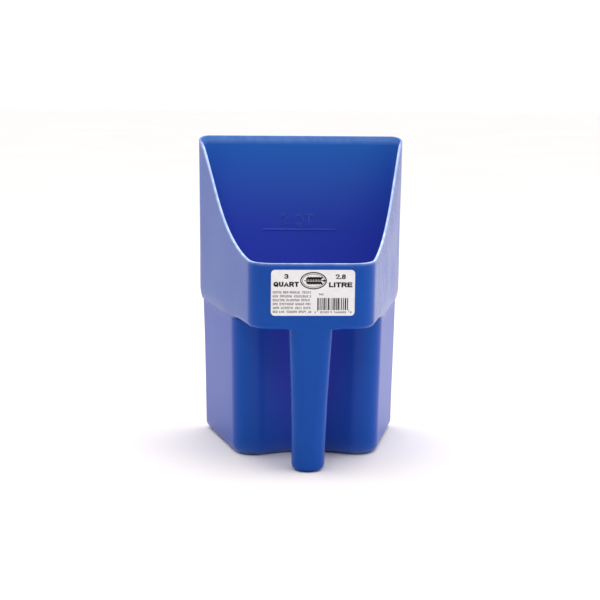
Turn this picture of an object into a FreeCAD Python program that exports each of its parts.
"""Feed scoop: a straight-pull moulding with a hollow handle, a raised fill mark and a stuck-on label.

Frame: millimetres, +Z up, +Y towards the tall back wall, origin under the middle of the scoop on the
plane that it stands on.  Every wall leans outwards as it rises, so the moulding leaves its tool upwards.
"""
import FreeCAD, Part
import math
import os

from FreeCAD import Vector

# ---- driving dimensions ------------------------------------------------------------------------------
HEIGHT = 222.0            # base to the top edge of the back wall
LEDGE = 100.0             # underside of the overhang, and the crease that runs round the sides
LIP = 145.5               # front pouring lip
WALL = 1.8                # wall thickness everywhere

# outline of the lower well at the ledge: half widths at back and front, and where back and front stand
WELL_BACK_HALF, WELL_FRONT_HALF = 74.9, 51.1
WELL_BACK_Y, WELL_FRONT_Y = 73.5, -30.2
WELL_BACK_RADIUS, WELL_FRONT_RADIUS = 8.0, 16.1
WELL_SIDE_DRAFT, WELL_NOSE_DRAFT = 0.0234, 0.0185    # back and front corners outwards, per mm of height
WELL_FRONT_DRAFT = 0.029  # front wall forwards
KNUCKLE_HOLLOW = 9.2      # how far the front of the well is dished in to clear the fingers

# outline of the upper bowl at the ledge
BOWL_BACK_HALF, BOWL_FRONT_HALF = 77.4, 40.2
BOWL_BACK_Y, BOWL_FRONT_Y = 75.7, -77.1
BOWL_BACK_RADIUS, BOWL_FRONT_RADIUS = 8.0, 18.6
BOWL_SIDE_DRAFT, BOWL_NOSE_DRAFT = 0.0116, 0.0025
END_DRAFT = 0.02          # lean of the front and back walls

SHOULDER_RISE = 9.5       # the bowl's sides curve in to the crease over this height
SHOULDER_RADIUS = 29.0
SHOULDER_STEPS = 4

BASE_ROUND = 6.0          # outside edge round the foot

# side view of the rim: level lip, hollow sweep, straight run, crown, gentle rise to the back edge
SWEEP_START_Y, SWEEP_RADIUS, SWEEP_ANGLE = -77.5, 151.5, 41.7
STRAIGHT_RISE = 27.0
CROWN_RADIUS, CROWN_ANGLE = 37.6, 17.3
SCOOP_BEVEL_HEIGHT, SCOOP_BEVEL_DEPTH = 3.4, 1.0

# handle: half widths at base, middle and top; depth front to back at base and top
HANDLE_HALF_BASE, HANDLE_HALF_MIDDLE, HANDLE_HALF_TOP = 11.3, 12.7, 14.9
HANDLE_MIDDLE_Z = 52.0
HANDLE_DEPTH_BASE, HANDLE_DEPTH_TOP = 22.0, 28.0
HANDLE_FRONT_RADIUS, HANDLE_BACK_RADIUS = 7.0, 9.0
HANDLE_END_ROUND = 4.0

MARK_Z, MARK_HALF, MARK_TALL, MARK_PROUD = 151.3, 28.0, 0.9, 0.5

LABEL_HALF, LABEL_LOW, LABEL_HIGH = 28.3, 109.9, 141.2
LABEL_THICK = 0.15
LABEL_CORNER = 3.0

OUTSIDE = 130.0           # reach of a cutting block beyond everything


def point_towards(start, end, distance):
    """The point that lies a distance from start along the way to end."""
    way = end - start
    return start + way * (distance / way.Length)


def rounded_wire(corners, radii):
    """Closed wire through the corners, each replaced by an arc of its radius, tangent to both sides."""
    edges = []
    arcs = []
    count = len(corners)
    for i, corner in enumerate(corners):
        before = corners[i - 1]
        after = corners[(i + 1) % count]
        half = (before - corner).getAngle(after - corner) / 2
        reach = radii[i] / math.tan(half)
        start = point_towards(corner, before, reach)
        end = point_towards(corner, after, reach)
        bisector = (start + end) * 0.5 - corner
        middle = point_towards(corner, corner + bisector, radii[i] / math.sin(half) - radii[i])
        arcs.append((start, middle, end))
    for i, (start, middle, end) in enumerate(arcs):
        edges.append(Part.Arc(start, middle, end).toShape())
        edges.append(Part.LineSegment(end, arcs[(i + 1) % count][0]).toShape())
    return Part.Wire(edges)


def inset_corners(back_half, front_half, back_y, front_y, inset):
    """Corner positions of a tapered outline moved inwards square to its sides."""
    lean = (back_half - front_half) / (back_y - front_y)
    square = inset * math.sqrt(1 + lean * lean)
    back_half = back_half - square - inset * lean
    front_half = front_half - square + inset * lean
    return back_half, front_half, back_y - inset, front_y + inset


def shoulder_tuck(z):
    """How far the back corners are drawn in at a height: one shallow arc above the ledge."""
    drop = max(LEDGE + SHOULDER_RISE - z, 0.0)
    return SHOULDER_RADIUS - math.sqrt(SHOULDER_RADIUS ** 2 - drop ** 2)


def bowl_outline(z, inset=0.0, tuck=0.0):
    """Outline of the upper bowl at a height, as a wire; the tuck draws in the back but not the nose."""
    rise = z - LEDGE
    back_half, front_half, back_y, front_y = inset_corners(
        BOWL_BACK_HALF - tuck + rise * BOWL_SIDE_DRAFT, BOWL_FRONT_HALF + rise * BOWL_NOSE_DRAFT,
        BOWL_BACK_Y - tuck + rise * END_DRAFT, BOWL_FRONT_Y - rise * END_DRAFT, inset)
    corners = [Vector(back_half, back_y, z), Vector(-back_half, back_y, z),
               Vector(-front_half, front_y, z), Vector(front_half, front_y, z)]
    back_radius = BOWL_BACK_RADIUS - inset
    front_radius = BOWL_FRONT_RADIUS - inset
    return rounded_wire(corners, [back_radius, back_radius, front_radius, front_radius])


def well_outline(z, inset=0.0):
    """Outline of the lower well: straight sides, round corners and a front dished in one large arc."""
    rise = z - LEDGE
    back_half, front_half, back_y, front_y = inset_corners(
        WELL_BACK_HALF + rise * WELL_SIDE_DRAFT, WELL_FRONT_HALF + rise * WELL_NOSE_DRAFT,
        WELL_BACK_Y + rise * END_DRAFT, WELL_FRONT_Y - rise * WELL_FRONT_DRAFT, inset)
    back_radius = WELL_BACK_RADIUS - inset
    nose = WELL_FRONT_RADIUS - inset
    lean = math.atan2(back_half - front_half, back_y - front_y)
    # round nose at each front corner: its centre, and where the side leaves it
    nose_x = front_half - nose * math.tan((math.pi / 2 - lean) / 2)
    nose_y = front_y + nose
    side_out = Vector(math.cos(lean), -math.sin(lean), 0)
    # the dish is one arc that touches both noses from outside
    dish = (nose_x ** 2 + KNUCKLE_HOLLOW ** 2) / (2 * KNUCKLE_HOLLOW) - nose
    dish_y = front_y + KNUCKLE_HOLLOW - dish
    touch = math.atan2(nose_x, nose_y - dish_y)
    edges = []
    for side in (1, -1):
        centre = Vector(side * nose_x, nose_y, z)
        leave = centre + Vector(side * side_out.x, side_out.y, 0) * nose
        mid_angle = -lean - (math.pi / 2 - lean + touch) / 2
        middle = centre + Vector(side * math.cos(mid_angle), math.sin(mid_angle), 0) * nose
        join = Vector(side * dish * math.sin(touch), dish_y + dish * math.cos(touch), z)
        corner = Vector(side * back_half, back_y, z)
        back = Vector(0, back_y, z)
        half = (leave - corner).getAngle(back - corner) / 2
        reach = back_radius / math.tan(half)
        low = point_towards(corner, leave, reach)
        high = point_towards(corner, back, reach)
        crest = point_towards(corner, (low + high) * 0.5, back_radius / math.sin(half) - back_radius)
        edges.append((join, middle, leave, low, crest, high))
    right, left = edges
    top = Vector(0, dish_y + dish, z)
    return Part.Wire([
        Part.Arc(right[0], right[1], right[2]).toShape(),
        Part.LineSegment(right[2], right[3]).toShape(),
        Part.Arc(right[3], right[4], right[5]).toShape(),
        Part.LineSegment(right[5], left[5]).toShape(),
        Part.Arc(left[5], left[4], left[3]).toShape(),
        Part.LineSegment(left[3], left[2]).toShape(),
        Part.Arc(left[2], left[1], left[0]).toShape(),
        Part.Arc(left[0], top, right[0]).toShape()])


def loft(wires):
    """Solid between wires, straight from each to the next."""
    return Part.makeLoft(wires, True, True)


def round_foot(solid, z, radius):
    """Round every edge that lies at a height."""
    foot = [edge for edge in solid.Edges
            if abs(edge.BoundBox.ZMax - z) < 1e-6 and abs(edge.BoundBox.ZMin - z) < 1e-6]
    return solid.makeFillet(radius, foot)


def rim_profile():
    """Edges of the rim seen from the side, from in front of the lip to behind the back edge."""
    sweep = math.radians(SWEEP_ANGLE)
    crown = math.radians(CROWN_ANGLE)
    bend = math.radians((SWEEP_ANGLE + CROWN_ANGLE) / 2)
    lip_end = Vector(0, SWEEP_START_Y, LIP)

    def on_sweep(angle):
        return lip_end + Vector(0, math.sin(angle), 1 - math.cos(angle)) * SWEEP_RADIUS

    sweep_end = on_sweep(sweep)
    straight_end = sweep_end + Vector(0, STRAIGHT_RISE / math.tan(sweep), STRAIGHT_RISE)
    crown_centre = straight_end + Vector(0, math.sin(sweep), -math.cos(sweep)) * CROWN_RADIUS

    def on_crown(angle):
        return crown_centre + Vector(0, -math.sin(angle), math.cos(angle)) * CROWN_RADIUS

    crown_end = on_crown(crown)
    run = OUTSIDE - crown_end.y
    behind = crown_end + Vector(0, run, run * math.tan(crown))
    before = Vector(0, -OUTSIDE, LIP)
    edges = [Part.LineSegment(before, lip_end).toShape(),
             Part.Arc(lip_end, on_sweep(sweep / 2), sweep_end).toShape(),
             Part.LineSegment(sweep_end, straight_end).toShape(),
             Part.Arc(straight_end, on_crown(bend), crown_end).toShape(),
             Part.LineSegment(crown_end, behind).toShape()]
    return edges, before, behind


def above_rim():
    """Block of everything above the rim, to be cut away."""
    edges, before, behind = rim_profile()
    roof = HEIGHT + OUTSIDE
    edges.append(Part.LineSegment(behind, Vector(0, behind.y, roof)).toShape())
    edges.append(Part.LineSegment(Vector(0, behind.y, roof), Vector(0, before.y, roof)).toShape())
    edges.append(Part.LineSegment(Vector(0, before.y, roof), before).toShape())
    block = Part.Face(Part.Wire(edges)).extrude(Vector(2 * OUTSIDE, 0, 0))
    block.translate(Vector(-OUTSIDE, 0, 0))
    return block


def bowl_outside():
    """The upper bowl's outer shape as a solid, from the ledge up past the rim."""
    steps = [LEDGE + SHOULDER_RISE * step / SHOULDER_STEPS for step in range(SHOULDER_STEPS + 1)]
    wires = [bowl_outline(z, 0.0, shoulder_tuck(z)) for z in steps]
    return loft(wires + [bowl_outline(HEIGHT + 2)])


def back_inner_y(z):
    """Where the inside face of the back wall stands at a height."""
    return BOWL_BACK_Y + (z - LEDGE) * END_DRAFT - WALL


def scooping_bevel():
    """Wedge that thins the inside of the back wall to an edge for digging into feed."""
    low, high = HEIGHT - SCOOP_BEVEL_HEIGHT, HEIGHT + 1
    corners = [Vector(0, back_inner_y(low), low),
               Vector(0, back_inner_y(high) + SCOOP_BEVEL_DEPTH, high),
               Vector(0, back_inner_y(low) - WALL, high), Vector(0, back_inner_y(low) - WALL, low)]
    half = BOWL_BACK_HALF - BOWL_BACK_RADIUS
    wedge = Part.Face(Part.makePolygon(corners + corners[:1])).extrude(Vector(2 * half, 0, 0))
    wedge.translate(Vector(-half, 0, 0))
    return wedge


def handle_outline(z, inset=0.0):
    """Outline of the handle at a height: front flush with the bowl's front wall."""
    if z < HANDLE_MIDDLE_Z:
        share = z / HANDLE_MIDDLE_Z
        half = HANDLE_HALF_BASE + (HANDLE_HALF_MIDDLE - HANDLE_HALF_BASE) * share
    else:
        share = (z - HANDLE_MIDDLE_Z) / (LEDGE - HANDLE_MIDDLE_Z)
        half = HANDLE_HALF_MIDDLE + (HANDLE_HALF_TOP - HANDLE_HALF_MIDDLE) * share
    depth = HANDLE_DEPTH_BASE + (HANDLE_DEPTH_TOP - HANDLE_DEPTH_BASE) * z / LEDGE
    front = BOWL_FRONT_Y - (z - LEDGE) * END_DRAFT
    back = front + depth - inset
    half = half - inset
    corners = [Vector(half, back, z), Vector(-half, back, z),
               Vector(-half, front + inset, z), Vector(half, front + inset, z)]
    back_radius = HANDLE_BACK_RADIUS - inset
    front_radius = HANDLE_FRONT_RADIUS - inset
    return rounded_wire(corners, [back_radius, back_radius, front_radius, front_radius])


def handle_bore():
    """Hollow of the handle, from above its closed end through the bowl's floor."""
    return loft([handle_outline(WALL, WALL), handle_outline(HANDLE_MIDDLE_Z, WALL),
                 handle_outline(LEDGE, WALL), handle_outline(LEDGE + 2 * WALL, WALL)])


def scoop_body():
    """Lower well and upper bowl in one wall, with the handle's bore open in the floor of the overhang."""
    well = round_foot(loft([well_outline(0), well_outline(LEDGE + WALL)]), 0, BASE_ROUND)
    outside = bowl_outside().fuse(well)
    well_space = round_foot(loft([well_outline(WALL, WALL), well_outline(LEDGE + 2 * WALL, WALL)]),
                            WALL, BASE_ROUND - WALL)
    floor = LEDGE + WALL
    bowl_space = loft([bowl_outline(floor, WALL, shoulder_tuck(floor)),
                       bowl_outline(LEDGE + SHOULDER_RISE, WALL), bowl_outline(HEIGHT + 20, WALL)])
    body = outside.cut([well_space, bowl_space, above_rim(), scooping_bevel(), handle_bore()])
    return body.removeSplitter()


def handle():
    """Hollow handle that hangs from the overhang, closed and rounded at its lower end."""
    outside = loft([handle_outline(0), handle_outline(HANDLE_MIDDLE_Z), handle_outline(LEDGE)])
    return round_foot(outside, 0, HANDLE_END_ROUND).cut(handle_bore())


def fill_mark():
    """Raised two-quart line on the inside of the back wall."""
    low, high = MARK_Z - MARK_TALL / 2, MARK_Z + MARK_TALL / 2
    corners = [Vector(0, back_inner_y(low), low), Vector(0, back_inner_y(high), high),
               Vector(0, back_inner_y(high) - MARK_PROUD, high),
               Vector(0, back_inner_y(low) - MARK_PROUD, low)]
    bar = Part.Face(Part.makePolygon(corners + corners[:1])).extrude(Vector(2 * MARK_HALF, 0, 0))
    bar.translate(Vector(-MARK_HALF, 0, 0))
    return bar


def front_label():
    """Thin label that follows the front wall and the start of its round corners."""
    reach = LABEL_HALF
    corners = [Vector(reach, -OUTSIDE, LABEL_HIGH), Vector(-reach, -OUTSIDE, LABEL_HIGH),
               Vector(-reach, -OUTSIDE, LABEL_LOW), Vector(reach, -OUTSIDE, LABEL_LOW)]
    stamp = Part.Face(rounded_wire(corners, [LABEL_CORNER] * 4)).extrude(Vector(0, OUTSIDE / 2, 0))
    skin = loft([bowl_outline(LEDGE, -LABEL_THICK), bowl_outline(HEIGHT, -LABEL_THICK)])
    core = loft([bowl_outline(LEDGE), bowl_outline(HEIGHT)])
    return skin.cut(core).common(stamp)


def save(name, shape):
    """Write one node and say what was made."""
    solids = shape.Solids
    box = shape.optimalBoundingBox(False)
    print(f"{name}: {len(solids)} solid(s), valid {shape.isValid()}, volume {shape.Volume / 1000:.1f} cm3,"
          f" x {box.XMin:.2f}..{box.XMax:.2f}  y {box.YMin:.2f}..{box.YMax:.2f}"
          f"  z {box.ZMin:.2f}..{box.ZMax:.2f}")
    shape = solids[0] if len(solids) == 1 else Part.makeCompound(solids)
    shape.exportStep(os.path.join("parts", name + ".step"))


os.makedirs("parts", exist_ok=True)
save("scoop_body", scoop_body())
save("handle", handle())
save("fill_mark", fill_mark())
save("front_label", front_label())
